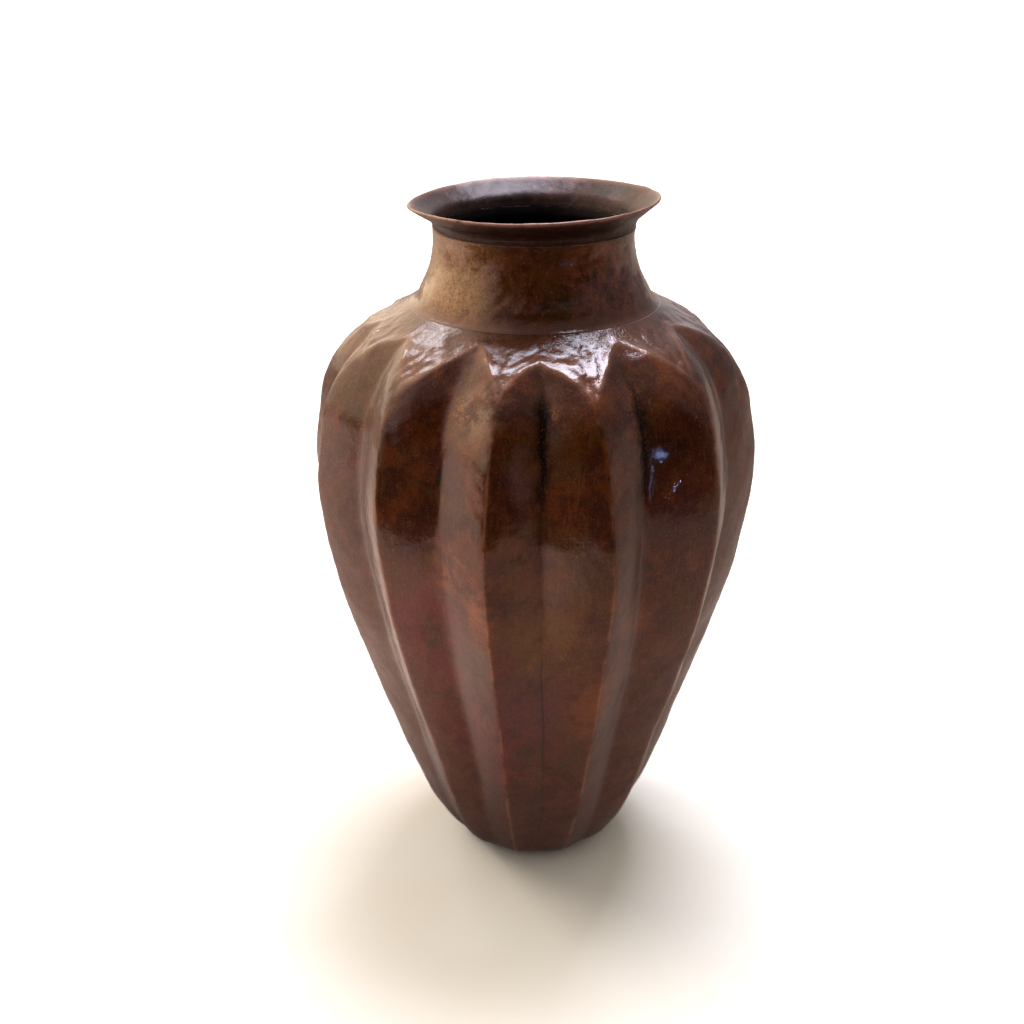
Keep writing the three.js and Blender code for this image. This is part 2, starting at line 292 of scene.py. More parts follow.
def hammer_marks(points, pitch, seed):
    """For each point, how far it is from the middle of its planishing mark: 0 there and
    about 1 where marks meet. The marks run round the piece in uneven courses."""
    rng = np.random.default_rng(seed)
    flat = points.reshape(-1, 3)
    lowest, highest = flat[:, 2].min(), flat[:, 2].max()
    tree_points = []
    courses = int((highest - lowest) / pitch) + 3
    level = np.linspace(lowest - pitch, highest + pitch, courses)
    rings = flat[np.argsort(flat[:, 2])]
    for height in level:
        near = np.searchsorted(rings[:, 2], height)
        window = rings[max(0, near - 400):near + 400]
        radius = np.linalg.norm(window[:, :2], axis=1).mean()
        count = max(5, int(2 * math.pi * radius / pitch))
        turn = (np.arange(count) + rng.uniform(-0.33, 0.33, count)) * 2 * math.pi / count
        turn += rng.uniform(0, 2 * math.pi)
        rise = height + rng.uniform(-0.35, 0.35, count) * pitch
        tree_points.append(np.stack([
            radius * np.sin(turn), -radius * np.cos(turn), rise,
        ], axis=1))
    centres = np.concatenate(tree_points)
    tree = kdtree.KDTree(len(centres))
    for i, centre in enumerate(centres):
        tree.insert(centre, i)
    tree.balance()
    distance = np.empty(len(flat))
    for i, spot in enumerate(flat):
        near = tree.find_n(spot, 2)
        distance[i] = near[0][2] / max(1e-6, 0.5 * (near[0][2] + near[1][2]))
    return distance.reshape(points.shape[:2])


# ---- The pieces' shapes ----

def body_columns():
    """Angle fractions across all flutes: flute number and place from ridge (0) to ridge (1),
    closest together at the ridges, with a few extra columns along the seam."""
    even = np.arange(COLUMNS_PER_FLUTE) / COLUMNS_PER_FLUTE
    place = even - RIDGE_CROWDING * np.sin(2 * math.pi * even) / (2 * math.pi)
    seam = 0.5 + np.array([-0.026, -0.013, -0.006, 0.006, 0.013, 0.026])
    flutes, places = [], []
    for flute in range(len(RIDGE_ANGLES)):
        own = np.sort(np.concatenate([place, seam])) if flute == 0 else place
        flutes += [flute] * len(own)
        places += list(own)
    return np.array(flutes), np.array(places)


def column_angles(flute, place, height):
    """Angles of the wall's columns at their heights, and how far across (0 valley, 1 ridge)."""
    wander = Waves(11, 90)
    ridges = np.array(RIDGE_ANGLES + [RIDGE_ANGLES[0] + 360.0])
    leans = np.array(VALLEY_LEANS, float)

    climb = (height - TOP_LEAN_START) / (ARCH_SPRING - TOP_LEAN_START)
    top_leans = np.array(RIDGE_TOP_LEANS, float)

    def ridge(number):
        return ridges[number] + RIDGE_WANDER * wander(height, 137.0 * (number % len(RIDGE_ANGLES)))

    def top_lean(number):
        return top_leans[number % len(RIDGE_ANGLES)] * np.clip(climb, 0, 1)

    start, end = ridge(flute), ridge(flute + 1)
    lean = leans[flute] * np.clip(height / LEAN_FULL_HEIGHT, 0.25, 1)
    lean = lean + VALLEY_WANDER * wander(height + 500, 91.0 * flute) * (flute > 0)
    valley = (start + end) / 2 + lean
    across = np.abs(1 - 2 * place)
    side = np.where(place < 0.5, start + top_lean(flute), end + top_lean(flute + 1))
    return valley + (side - valley) * across, across


def soot_in_valleys(flute, place, across, radius, height):
    """Dark soot left in the valleys: blotches at heights of their own in each flute."""
    from_valley = np.sign(place - 0.5) * across * radius * HALF_FLUTE
    uneven = Waves(13, 14)
    soot = np.zeros_like(height)
    for number, (middle, tall, wide, amount) in enumerate(SOOT):
        width = wide * (0.75 + 0.35 * uneven(height, 53.0 * number))
        off = from_valley - 0.5 * uneven(height + 300, 53.0 * number)
        here = amount * np.exp(-((height - middle) / tall) ** 4 - (off / width) ** 2)
        soot = np.where(flute == number, here, soot)
    return soot


def fluted_wall():
    flute, place = body_columns()
    flute, place = flute[:, None], place[:, None]
    lower = 1 - (1 - np.linspace(0, 1, WALL_ROWS)) ** 1.2
    shoulder = np.r_[np.linspace(0, 1, SHOULDER_ROWS)[1:-1], 0.985, 1]

    arch = arch_height(flute, place)
    heights = np.concatenate([
        FOOT_LIFT + (arch - FOOT_LIFT) * lower, arch + (NECK_JOINT - arch) * shoulder,
    ], axis=1)
    angles, across = column_angles(flute, place, heights)
    radius = ridge_radius(heights) - flute_depth(across, arch, heights)
    east, north = radius * np.sin(np.radians(angles)), radius * np.cos(np.radians(angles))
    clear_of_joint = smoothstep(0.0, 5.0, NECK_JOINT - heights)
    on_shoulder = smoothstep(-8.0, 1.0, heights - arch)
    lumps = add_waves(0.0, SHOULDER_LUMPS, east, north, heights)
    uneven = add_waves(0.0, WALL_WAVES, east, north, heights) + lumps * on_shoulder
    radius = radius + uneven * clear_of_joint
    outer = np.stack([
        radius * np.sin(np.radians(angles)), -radius * np.cos(np.radians(angles)), heights,
    ], axis=2)

    step = np.diff(outer, axis=1)
    up = np.concatenate([step, step[:, -1:]], axis=1) + np.concatenate([step[:, :1], step], axis=1)
    turn_step = np.roll(outer, -1, axis=0) - np.roll(outer, 1, axis=0)
    normal = np.cross(turn_step, up)
    normal /= np.linalg.norm(normal, axis=2, keepdims=True)

    marks = hammer_marks(outer, 5.2, 21)
    fine = hammer_marks(outer, 2.6, 22)
    calm = smoothstep(0.0, 3.0, NECK_JOINT - heights)
    relief = 0.11 * marks**2 + 0.03 * fine**2 - 0.07
    seam_gap = np.where(flute == 0, (place - 0.5) * (2 * HALF_FLUTE * radius), 99.0)
    seam_gap = seam_gap + 0.22 * Waves(9, 24)(heights, 0 * heights)
    groove = np.exp(-(seam_gap / 0.32) ** 2)
    open_seam = smoothstep(30, 60, heights) * (1 - smoothstep(105, 150, heights)) * 0.85 + 0.1
    open_seam = open_seam * (1 - smoothstep(195, 205, heights)) * (heights > 2)
    open_seam = open_seam * (0.65 + 0.35 * np.tanh(2 * Waves(8, 30)(heights, 0 * heights)))
    worked_edge = np.exp(-((heights - arch) / 1.3) ** 2) * (1 - across**6)
    relief = (relief + 0.16 * worked_edge) * calm - 0.24 * groove * open_seam
    outer = outer + relief[..., None] * normal

    # The upper edge laps inside the neck, and the inside follows the outside.
    lap_height = np.linspace(NECK_JOINT, NECK_JOINT + LAP_HEIGHT, 4)
    lap = np.stack([neck_radius(lap_height), lap_height], axis=1)
    last = np.radians(angles[:, -1:])

    def lap_ring(distance):
        line = outline_inset(lap, distance)
        return np.stack([
            line[:, 0] * np.sin(last), -line[:, 0] * np.cos(last), line[:, 1] + 0 * last,
        ], axis=2)

    keep = np.r_[0:WALL_ROWS:12, WALL_ROWS - 1:WALL_ROWS + SHOULDER_ROWS - 1:8]
    inner = (outer - SHEET * normal)[:, keep][:, ::-1]
    points = np.concatenate([
        outer, lap_ring(SHEET + LAP_GAP), lap_ring(2 * SHEET + LAP_GAP)[:, ::-1], inner,
    ], axis=1)

    def padded(values, fill):
        full = np.full(points.shape[:2], float(fill))
        full[:, :values.shape[1]] = values
        return full

    arch_gap = np.abs(heights - arch)
    flutes_on = smoothstep(0, 14, arch - heights)
    marks_for_paint = {
        "ridge": padded(flutes_on * np.exp(-((1 - across) * radius * HALF_FLUTE / 0.9) ** 2), 0),
        "soot": padded(flutes_on * soot_in_valleys(flute, place, across, radius, heights), 0),
        # The arch mark carries a painted highlight along the arch edges.
        "arch": padded(np.exp(-(arch_gap / 1.3) ** 2) * (1 - smoothstep(0.93, 1.0, across)), 0),
        "shoulder": padded(1 - smoothstep(-1.0, 2.5, arch - heights), 0),
        "seam": padded(groove * open_seam, 0),
        "inside": padded(np.zeros_like(heights), 1),
    }
    return mesh_from_grid("fluted_wall", points, marks_for_paint)


def displaced(points, relief):
    return points + relief[..., None] * grid_normals(points)


def neck():
    height = np.r_[
        NECK_JOINT - 0.1, NECK_JOINT - 0.04,
        np.linspace(NECK_JOINT + 0.3, NECK_TOP - 0.3, NECK_ROWS),
        NECK_TOP - 0.05, NECK_TOP,
    ]
    up_to_lip = (LIP_ROOT_RADIUS - NECK_TOP_RADIUS + 0.05) * smoothstep(LIP_SEAT - 5, LIP_SEAT, height)
    outside = np.stack([neck_radius(height) + up_to_lip, height], axis=1)
    inside = outline_inset(outside, SHEET)[2:-2:4][::-1]
    points = turned(np.concatenate([outside, inside]), even_turn(NECK_COLUMNS))
    marks = hammer_marks(points, 4.6, 33)
    fine = hammer_marks(points, 2.2, 34)
    rows = points.shape[1]
    edge = np.zeros(rows)
    edge[:len(outside)] = smoothstep(0, 2.5, height - NECK_JOINT) * smoothstep(0, 2.5, NECK_TOP - height)
    x, y, z = np.moveaxis(points, 2, 0)
    relief = 0.09 * marks**2 + 0.03 * fine**2 - 0.05
    points = displaced(points, add_waves(relief, NECK_WAVES, x, y, z) * edge)
    inner_mark = np.zeros(points.shape[:2])
    inner_mark[:, len(outside):] = 1
    return mesh_from_grid("neck", points, {"inside": inner_mark})


def lip():
    bend = np.linspace(0, LIP_FLARE, 9)

    def surface(distance):
        reach = LIP_BEND + distance
        arc = np.stack([
            LIP_ROOT_RADIUS + LIP_BEND - reach * np.cos(bend), LIP_SEAT + reach * np.sin(bend),
        ], axis=1)
        run = np.linspace(0, LIP_STRAIGHT, 12)[1:, None]
        return np.concatenate([arc, arc[-1] + run * np.array([math.sin(LIP_FLARE), math.cos(LIP_FLARE)])])

    underside = surface(0)
    mouth = surface(SHEET)[::-1]
    middle = (underside[-1] + mouth[0]) / 2
    swing = np.linspace(0, math.pi, 7)[1:-1, None]
    down = (underside[-1] - mouth[0]) / 2
    out = np.array([-down[1], down[0]])
    rounded = middle + np.cos(swing) * down + 0.8 * np.sin(swing) * np.abs(out)
    tail = NECK_TOP_RADIUS - SHEET - 0.3
    mouth = mouth[:-2]
    down_throat = np.linspace(0, 1, 9)[1:, None]
    throat_foot = np.array([tail - SHEET, LIP_SEAT - 3.4])
    throat = mouth[-1] + (throat_foot - mouth[-1]) * np.concatenate([
        smoothstep(-0.25, 1.0, down_throat) / smoothstep(-0.25, 1.0, 1), down_throat], axis=1)
    outline = np.concatenate([
        [(tail, LIP_TAIL_FOOT), (tail, LIP_SEAT - 2.5), (tail, LIP_SEAT)],
        [underside[0] - (0.06, 0)], underside, rounded, mouth, throat,
        [(tail - SHEET, LIP_TAIL_FOOT)],
    ])
    points = turned(outline, even_turn(LIP_COLUMNS))
    flare = smoothstep(LIP_SEAT, HEIGHT, points[..., 2])
    lift = add_waves(0.0, LIP_LIFT, points[..., 0], points[..., 1])
    tilt = LIP_TILT * points[..., 0]
    points[..., 2] += flare * (lift + tilt)
    marks = hammer_marks(points, 3.4, 43)
    rows = points.shape[1]
    visible = np.zeros(rows)
    visible[6:rows - 3] = 1
    x, y, z = np.moveaxis(points, 2, 0)
    relief = add_waves(0.06 * marks**2 - 0.03, LIP_WAVES, x, y, z)
    points = displaced(points, relief * visible)
    rim = len(outline) - 1 - len(throat) - len(mouth) - len(rounded) / 2
    from_rim = np.abs(np.arange(rows) - rim)[None, :] + 0 * points[..., 0]
    edge = np.exp(-(from_rim / 3.2) ** 2)
    row = np.arange(rows)[None, :] + 0 * points[..., 0]
    inner_mark = (row > rim + 3).astype(float)
    # The depth mark rises towards 1 down the throat, where the paint lays painted shade.
    depth = smoothstep(2.2, -1.0, points[..., 2] - LIP_SEAT)
    return mesh_from_grid("lip", points, {"rim": edge, "inside": inner_mark, "depth": depth})


def bottom_disc():
    """The bottom disc: flat underneath, where it rests, and slightly planished on top."""
    reach = np.linspace(0.02, 1, 14)
    radius = DISC_RADIUS * reach - DISC_EDGE * (reach == 1)
    under = np.stack([radius, 0 * reach], axis=1)
    edge = [(DISC_RADIUS, DISC_EDGE), (DISC_RADIUS, DISC_THICKNESS - DISC_EDGE)]
    top = np.stack([radius[::-1], DISC_THICKNESS + 0 * reach], axis=1)
    points = turned(np.concatenate([under, edge, top]), even_turn(DISC_COLUMNS))
    rows = points.shape[1]
    marks = hammer_marks(points, 4.0, 51)
    upper = (np.arange(rows) > len(under) + 2).astype(float)
    points[..., 2] -= 0.08 * marks**2 * upper
    return mesh_from_grid("bottom_disc", points, {"inside": upper + 0 * points[..., 0]})


def ring_of_solder(name, middle_radius, middle_height, half_width, half_height, seed):
    """A run of solder round a joint, uneven in width."""
    swing = np.linspace(0, 2 * math.pi, 12, endpoint=False)
    turn = np.radians(even_turn(SOLDER_COLUMNS))
    uneven = 1 + 0.16 * Waves(seed, 14)(middle_radius * np.sin(turn), middle_radius * np.cos(turn))
    radius = middle_radius + half_width * np.cos(swing)[None, :] * uneven[:, None]
    height = middle_height + half_height * np.sin(swing)[None, :] * uneven[:, None]
    points = np.stack([
        radius * np.sin(turn)[:, None], -radius * np.cos(turn)[:, None], height,
    ], axis=2)
    return mesh_from_grid(name, points)


# ---- Materials ----

def srgb(red, green, blue):
    """A colour given as 0 to 255 display values, in linear light."""
    def linear(value):
        share = value / 255
        return share / 12.92 if share <= 0.04045 else ((share + 0.055) / 1.055) ** 2.4
    return (linear(red), linear(green), linear(blue), 1.0)


class Paint:
    """Builds one procedural material. Most methods add nodes and return the last one's output;
    colours are laid over each other in the order they're called."""

    def __init__(self, name):
        self.material = bpy.data.materials.new(name)
        self.material.use_nodes = True
        self.tree = self.material.node_tree
        self.shader = self.tree.nodes["Principled BSDF"]
        place = self.tree.nodes.new("ShaderNodeTexCoord")
        scale = self.tree.nodes.new("ShaderNodeVectorMath")
        scale.operation = "SCALE"
        scale.inputs["Scale"].default_value = 1 / MM
        self.tree.links.new(place.outputs["Object"], scale.inputs[0])
        self.place = scale.outputs[0]

    def link(self, value, socket):
        if isinstance(value, bpy.types.NodeSocket):
            self.tree.links.new(value, socket)
        else:
            socket.default_value = value

    def noise(self, size, detail=4.0, roughness=0.55, distortion=0.0, stretch=None, seed=0.0):
        """Noise with blobs about size millimetres across."""
        node = self.tree.nodes.new("ShaderNodeTexNoise")
        node.noise_dimensions = "4D"
        node.inputs["W"].default_value = seed
        node.inputs["Scale"].default_value = 1 / size
        node.inputs["Detail"].default_value = detail
        node.inputs["Roughness"].default_value = roughness
        node.inputs["Distortion"].default_value = distortion
        vector = self.place
        if stretch:
            squeeze = self.tree.nodes.new("ShaderNodeVectorMath")
            squeeze.operation = "MULTIPLY"
            squeeze.inputs[1].default_value = stretch
            self.tree.links.new(self.place, squeeze.inputs[0])
            vector = squeeze.outputs[0]
        self.tree.links.new(vector, node.inputs["Vector"])
        return node.outputs["Fac"]

    def mark(self, name):
        node = self.tree.nodes.new("ShaderNodeAttribute")
        node.attribute_name = name
        return node.outputs["Fac"]

    def math(self, operation, a, b=0.0):
        node = self.tree.nodes.new("ShaderNodeMath")
        node.operation = operation
        self.link(a, node.inputs[0])
        self.link(b, node.inputs[1])
        return node.outputs[0]

    def step(self, value, start, end):
        """Eases from 0 at start to 1 at end."""
        node = self.tree.nodes.new("ShaderNodeMapRange")
        node.interpolation_type = "SMOOTHSTEP"
        node.inputs["From Min"].default_value = start
        node.inputs["From Max"].default_value = end
        self.link(value, node.inputs["Value"])
        return node.outputs["Result"]

    def mix(self, share, a, b):
        node = self.tree.nodes.new("ShaderNodeMix")
        node.data_type = "RGBA"
        self.link(share, node.inputs["Factor"])
        self.link(a, node.inputs["A"])
        self.link(b, node.inputs["B"])
        return node.outputs["Result"]

    def over(self, colour, where, share, tone):
        """A tone, given as display values, laid over a colour at a share of where."""
        return self.mix(self.math("MULTIPLY", where, share), colour, srgb(*tone))

    def height(self):
        node = self.tree.nodes.new("ShaderNodeSeparateXYZ")
        self.tree.links.new(self.place, node.inputs[0])
        return node.outputs["Z"]

    def spot(self, angle, radius, level, reach, tall=1.0):
        """1 near a place on the wall, easing to 0 at reach millimetres; tall stretches it
        upwards."""
        turn = math.radians(angle)
        centre = (radius * math.sin(turn), -radius * math.cos(turn), level)
        gap = self.tree.nodes.new("ShaderNodeVectorMath")
        gap.operation = "SUBTRACT"
        self.tree.links.new(self.place, gap.inputs[0])
        gap.inputs[1].default_value = centre
        flat = self.tree.nodes.new("ShaderNodeVectorMath")
        flat.operation = "MULTIPLY"
        flat.inputs[1].default_value = (1, 1, 1 / tall)
        self.tree.links.new(gap.outputs[0], flat.inputs[0])
        length = self.tree.nodes.new("ShaderNodeVectorMath")
        length.operation = "LENGTH"
        self.tree.links.new(flat.outputs[0], length.inputs[0])
        return self.step(length.outputs["Value"], reach, reach * 0.15)

    def bump(self, value, strength, distance, onto=None):
        node = self.tree.nodes.new("ShaderNodeBump")
        node.inputs["Strength"].default_value = strength
        node.inputs["Distance"].default_value = distance * MM
        self.link(value, node.inputs["Height"])
        if onto is not None:
            self.tree.links.new(onto, node.inputs["Normal"])
        return node.outputs["Normal"]

    def specks(self, colour, bright, seed):
        """Clusters of tiny bright flecks where the patina is worn through."""
        flecks = self.step(self.noise(0.45, 2, 0.5, seed=seed), 0.6, 0.72)
        clusters = self.step(self.noise(9, 5, 0.72, seed=seed + 0.5), 0.52, 0.66)
        share = self.math("MULTIPLY", self.math("MULTIPLY", flecks, clusters), 0.7)
        return self.mix(share, colour, bright)

    def lacquer(self, small, grain):
        """The gentler waves of the lacquer over the metal's texture."""
        return self.bump(grain, 0.5, 0.05, self.bump(small, 0.5, 0.2))

    def finish(self, colour, roughness, metallic, normal=None, coat=1.0, coat_roughness=0.1,
               coat_normal=None):
        shader = self.shader
        self.link(colour, shader.inputs["Base Color"])
        self.link(roughness, shader.inputs["Roughness"])
        self.link(metallic, shader.inputs["Metallic"])
        shader.inputs["Specular IOR Level"].default_value = 0.15
        self.link(coat, shader.inputs["Coat Weight"])
        self.link(coat_roughness, shader.inputs["Coat Roughness"])
        if normal is not None:
            self.tree.links.new(normal, shader.inputs["Normal"])
            self.tree.links.new(coat_normal or normal, shader.inputs["Coat Normal"])
        return self.material


# Clouds of colour on the body: angle, radius, height, reach, how tall for its width, how
# strong, and the colour.
CLOUDS = [
    (1, 70, 122, 24, 1.2, 0.6, (106, 66, 14)),
    (-5, 62, 92, 24, 1.2, 0.55, (84, 42, 46)),
    (16, 64, 96, 15, 2.6, 0.6, (128, 64, 20)),
    (-23, 72, 148, 13, 1.2, 0.6, (160, 92, 44)),
    (-15, 74, 138, 8, 2.6, 0.6, (164, 88, 38)),
    (34, 74, 160, 24, 1.0, 0.6, (70, 32, 34)),
    (-42, 76, 150, 20, 1.2, 0.5, (84, 50, 26)),
    (26, 66, 128, 14, 1.2, 0.5, (140, 72, 30)),
    # The next two rows are painted reflections on the front flute: a mauve veil and a dark lens.
    (-4.5, 74, 184, 8, 2.6, 0.75, (96, 62, 58)),
    (-10.5, 78, 176, 8, 2.8, 0.75, (40, 11, 3)),
    # This row is a painted reflection: the tan sheen of the bright left side on an upper facet.
    (-17, 68, 203, 12, 1.5, 0.6, (146, 116, 88)),
    (4, 64, 206, 12, 1.0, 0.5, (96, 60, 34)),
    (35, 74, 188, 14, 1.2, 0.6, (44, 12, 6)),
]


def body_patina():
    p = Paint("body_patina")
    broad = p.noise(30, 5, 0.6, 0.5, seed=1)
    middle = p.noise(10, 7, 0.68, 0.5, seed=2)
    small = p.noise(2.2, 5, 0.65, seed=8)
    grain = p.noise(0.6, 4, 0.65, seed=3)
    height = p.height()

    amber = p.mix(p.step(middle, 0.42, 0.64), srgb(64, 22, 1), srgb(96, 42, 4))
    plum = p.mix(p.step(middle, 0.4, 0.6), srgb(72, 30, 16), srgb(90, 43, 22))
    low_down = p.step(p.math("ADD", height, p.math("MULTIPLY", broad, 90)), 205, 165)
    colour = p.mix(low_down, amber, plum)
    olive = p.step(p.noise(16, 5, 0.62, 0.6, seed=4), 0.52, 0.62)
    colour = p.over(colour, olive, 0.55, (80, 48, 10))
    crimson = p.math("MAXIMUM", p.spot(-31, 66, 128, 34, 1.3), p.spot(-17, 60, 92, 36, 1.6))
    crimson = p.math("MULTIPLY", crimson, p.step(p.noise(10, 5, 0.62, seed=9), 0.38, 0.58))
    colour = p.over(colour, crimson, 0.65, (112, 32, 36))
    cloudy = p.step(p.noise(12, 6, 0.66, 0.6, seed=14), 0.4, 0.56)
    for angle, radius, level, reach, tall, share, tone in CLOUDS:
        cloud = p.math("MULTIPLY", p.spot(angle, radius, level, reach, tall), cloudy)
        colour = p.over(colour, cloud, share, tone)
    shoulder = p.math("MULTIPLY", p.mark("shoulder"), p.step(broad, 0.3, 0.6))
    colour = p.mix(p.math("ADD", 0.35, p.math("MULTIPLY", shoulder, 0.5)), colour,
                   p.mix(p.mark("shoulder"), colour, srgb(92, 54, 36)))
    freckles = p.math("MULTIPLY", p.step(small, 0.58, 0.7), p.step(broad, 0.42, 0.58))
    colour = p.over(colour, freckles, 0.2, (146, 80, 30))
    blots = p.step(p.noise(7, 6, 0.7, 0.5, seed=10), 0.44, 0.32)
    colour = p.over(colour, blots, 0.4, (36, 13, 5))
    soot = p.math("MULTIPLY", p.mark("soot"),
                  p.step(p.noise(3.0, 6, 0.72, stretch=(1, 1, 0.35), seed=5), 0.38, 0.48))
    rubbed = p.step(p.noise(6, 5, 0.66, seed=6), 0.4, 0.66)
    colour = p.over(colour, p.math("MULTIPLY", p.mark("ridge"), rubbed), 0.35, (158, 84, 36))
    # A thin pale line along the ridge tops: a painted highlight of their rounded edges.
    painted_ridge_highlight = p.math("MULTIPLY", p.math("POWER", p.mark("ridge"), 4.0), p.step(broad, 0.42, 0.58))
    colour = p.over(colour, painted_ridge_highlight, 0.3, (180, 130, 104))
    scorched = p.math("MAXIMUM", p.spot(3, 66, 201, 5), p.spot(28, 66, 204, 8, 1.3))
    scorched = p.math("MAXIMUM", scorched, p.spot(-22, 66, 201, 6))
    scorched = p.math("MULTIPLY", scorched, p.step(grain, 0.42, 0.6))
    scorched = p.math("MULTIPLY", scorched, p.step(small, 0.44, 0.56))
    colour = p.over(colour, scorched, 0.6, (184, 110, 66))
    colour = p.mix(soot, colour, srgb(9, 5, 4))
    # A tan line along the arch edges: a painted highlight.
    colour = p.over(colour, p.mark("arch"), 0.25, (160, 112, 84))
    streaks = p.noise(0.9, 3, 0.6, stretch=(1, 1, 0.1), seed=16)
    colour = p.over(colour, p.step(streaks, 0.52, 0.68), 0.12, (140, 92, 60))
    colour = p.over(colour, p.step(grain, 0.54, 0.68), 0.3, (146, 88, 54))
    colour = p.over(colour, p.step(grain, 0.47, 0.33), 0.6, (28, 11, 5))
    colour = p.specks(colour, srgb(180, 112, 58), 17)
    colour = p.over(colour, p.mark("seam"), 0.8, (16, 7, 5))
    colour = p.mix(p.mark("inside"), colour, srgb(30, 16, 12))

    roughness = p.math("ADD", 0.36, p.math("MULTIPLY", middle, 0.16))
    normal = p.bump(grain, 0.45, 0.22)
    normal = p.bump(small, 0.45, 0.45, normal)
    outside = p.math("SUBTRACT", 1.0, p.mark("inside"))
    coat = p.math("MULTIPLY", outside, p.math("SUBTRACT", 1.0, p.math("MULTIPLY", soot, 0.8)))
    coat_roughness = p.math("ADD", 0.03, p.math("MULTIPLY", p.step(broad, 0.35, 0.65), 0.06))
    scratchy = p.noise(1.8, 4, 0.6, 1.0, seed=18)
    calm = p.math("SUBTRACT", 1.0, p.spot(36, 76, 181, 16))
    smoother = p.math("ADD", 0.35, p.math("MULTIPLY", calm, 0.65))
    coat_roughness = p.math("MULTIPLY", coat_roughness, smoother)
    lacquer = p.lacquer(p.math("MULTIPLY", small, calm), p.math("MULTIPLY", grain, calm))
    lacquer = p.bump(p.math("MULTIPLY", scratchy, p.mark("shoulder")), 0.3, 0.3, lacquer)
    return p.finish(colour, roughness, 0.5, normal, coat, coat_roughness, lacquer)


def neck_patina():
    p = Paint("neck_patina")
    broad = p.noise(16, 5, 0.6, 0.4, seed=11)
    middle = p.noise(5, 6, 0.65, 0.3, seed=12)
    small = p.noise(2.2, 5, 0.65, seed=15)
    grain = p.noise(0.7, 3, 0.6, seed=13)
    colour = p.mix(p.step(middle, 0.4, 0.62), srgb(66, 24, 3), srgb(92, 44, 10))
    colour = p.over(colour, p.step(broad, 0.45, 0.62), 0.5, (84, 50, 16))
    gold = p.math("MULTIPLY", p.spot(-55, 38, 229, 32), p.step(p.noise(0.9, 5, 0.7, seed=20), 0.3, 0.64))
    colour = p.over(colour, gold, 0.8, (158, 114, 66))
    # A pale patch at the neck's left edge: a painted reflection of the bright left side.
    painted_left_sheen = p.math("MULTIPLY", p.spot(-76, 36, 238, 20, 1.3), p.step(middle, 0.3, 0.55))
    colour = p.over(colour, painted_left_sheen, 0.7, (200, 168, 132))
    red = p.math("MULTIPLY", p.spot(42, 36, 232, 26), p.step(middle, 0.38, 0.6))
    colour = p.over(colour, red, 0.7, (118, 60, 42))
    dark = p.math("MULTIPLY", p.spot(9, 38, 227, 9), p.step(small, 0.38, 0.55))
    colour = p.over(colour, dark, 0.7, (36, 30, 10))
    colour = p.over(colour, p.step(small, 0.56, 0.7), 0.35, (138, 82, 34))
    colour = p.over(colour, p.step(grain, 0.56, 0.72), 0.4, (166, 108, 60))
    colour = p.over(colour, p.step(grain, 0.46, 0.3), 0.5, (30, 13, 4))
    colour = p.specks(colour, srgb(200, 146, 84), 19)
    shoulder_edge = p.step(p.height(), NECK_JOINT + 6, NECK_JOINT)
    colour = p.over(colour, shoulder_edge, 0.75, (96, 54, 38))
    colour = p.mix(p.mark("inside"), colour, srgb(30, 16, 12))
    roughness = p.math("ADD", 0.34, p.math("MULTIPLY", middle, 0.16))
    normal = p.bump(grain, 0.3, 0.2)
    normal = p.bump(small, 0.28, 0.35, normal)
    coat = p.math("SUBTRACT", 1.0, p.mark("inside"))
    return p.finish(colour, roughness, 0.5, normal, coat, 0.05, p.lacquer(small, grain))


def lip_patina():
    p = Paint("lip_patina")
    middle = p.noise(6, 6, 0.62, 0.3, seed=21)
    small = p.noise(2.2, 5, 0.65, seed=26)
    grain = p.noise(0.7, 3, 0.6, seed=23)
    colour = p.mix(p.step(middle, 0.4, 0.62), srgb(38, 19, 12), srgb(60, 33, 24))
    pink = p.step(p.noise(9, 5, 0.62, seed=22), 0.55, 0.68)
    colour = p.over(colour, pink, 0.5, (94, 54, 46))
    under = p.math("SUBTRACT", 1.0, p.mark("inside"))
    colour = p.over(colour, under, 0.85, (42, 17, 6))
    worn = p.math("MULTIPLY", p.mark("rim"), p.step(p.noise(4, 5, 0.66, seed=24), 0.22, 0.5))
    colour = p.over(colour, worn, 0.75, (172, 124, 106))
    colour = p.over(colour, p.step(small, 0.56, 0.7), 0.35, (112, 76, 62))
    colour = p.over(colour, p.step(grain, 0.46, 0.3), 0.5, (30, 15, 10))
    # Down the throat the colour turns nearly black: painted shade inside the neck.
    throat = p.math("MULTIPLY", p.mark("depth"), p.mark("inside"))
    colour = p.mix(throat, colour, srgb(14, 7, 5))
    roughness = p.math("ADD", 0.36, p.math("MULTIPLY", middle, 0.18))
    normal = p.bump(grain, 0.4, 0.25)
    normal = p.bump(small, 0.4, 0.4, normal)
    coat = p.math("MULTIPLY", 0.3, p.math("SUBTRACT", 1.0, throat))
    coat_roughness = p.math("ADD", 0.1, p.math("MULTIPLY", p.mark("inside"), 0.2))
    return p.finish(colour, roughness, 0.4, normal, coat, coat_roughness, p.lacquer(small, grain))


def bare_copper():
    p = Paint("bottom_copper")
    middle = p.noise(5, 6, 0.62, seed=31)
    scuff = p.noise(1.2, 4, 0.7, stretch=(1, 0.12, 1), seed=32)
    colour = p.mix(p.step(middle, 0.4, 0.62), srgb(120, 70, 46), srgb(150, 96, 66))
    colour = p.over(colour, p.step(scuff, 0.55, 0.7), 0.5, (196, 140, 104))
    colour = p.over(colour, p.mark("inside"), 0.8, (34, 18, 12))
    normal = p.bump(scuff, 0.25, 0.1)
    return p.finish(colour, p.math("ADD", 0.35, p.math("MULTIPLY", middle, 0.2)), 0.85, normal, 0.2, 0.3)


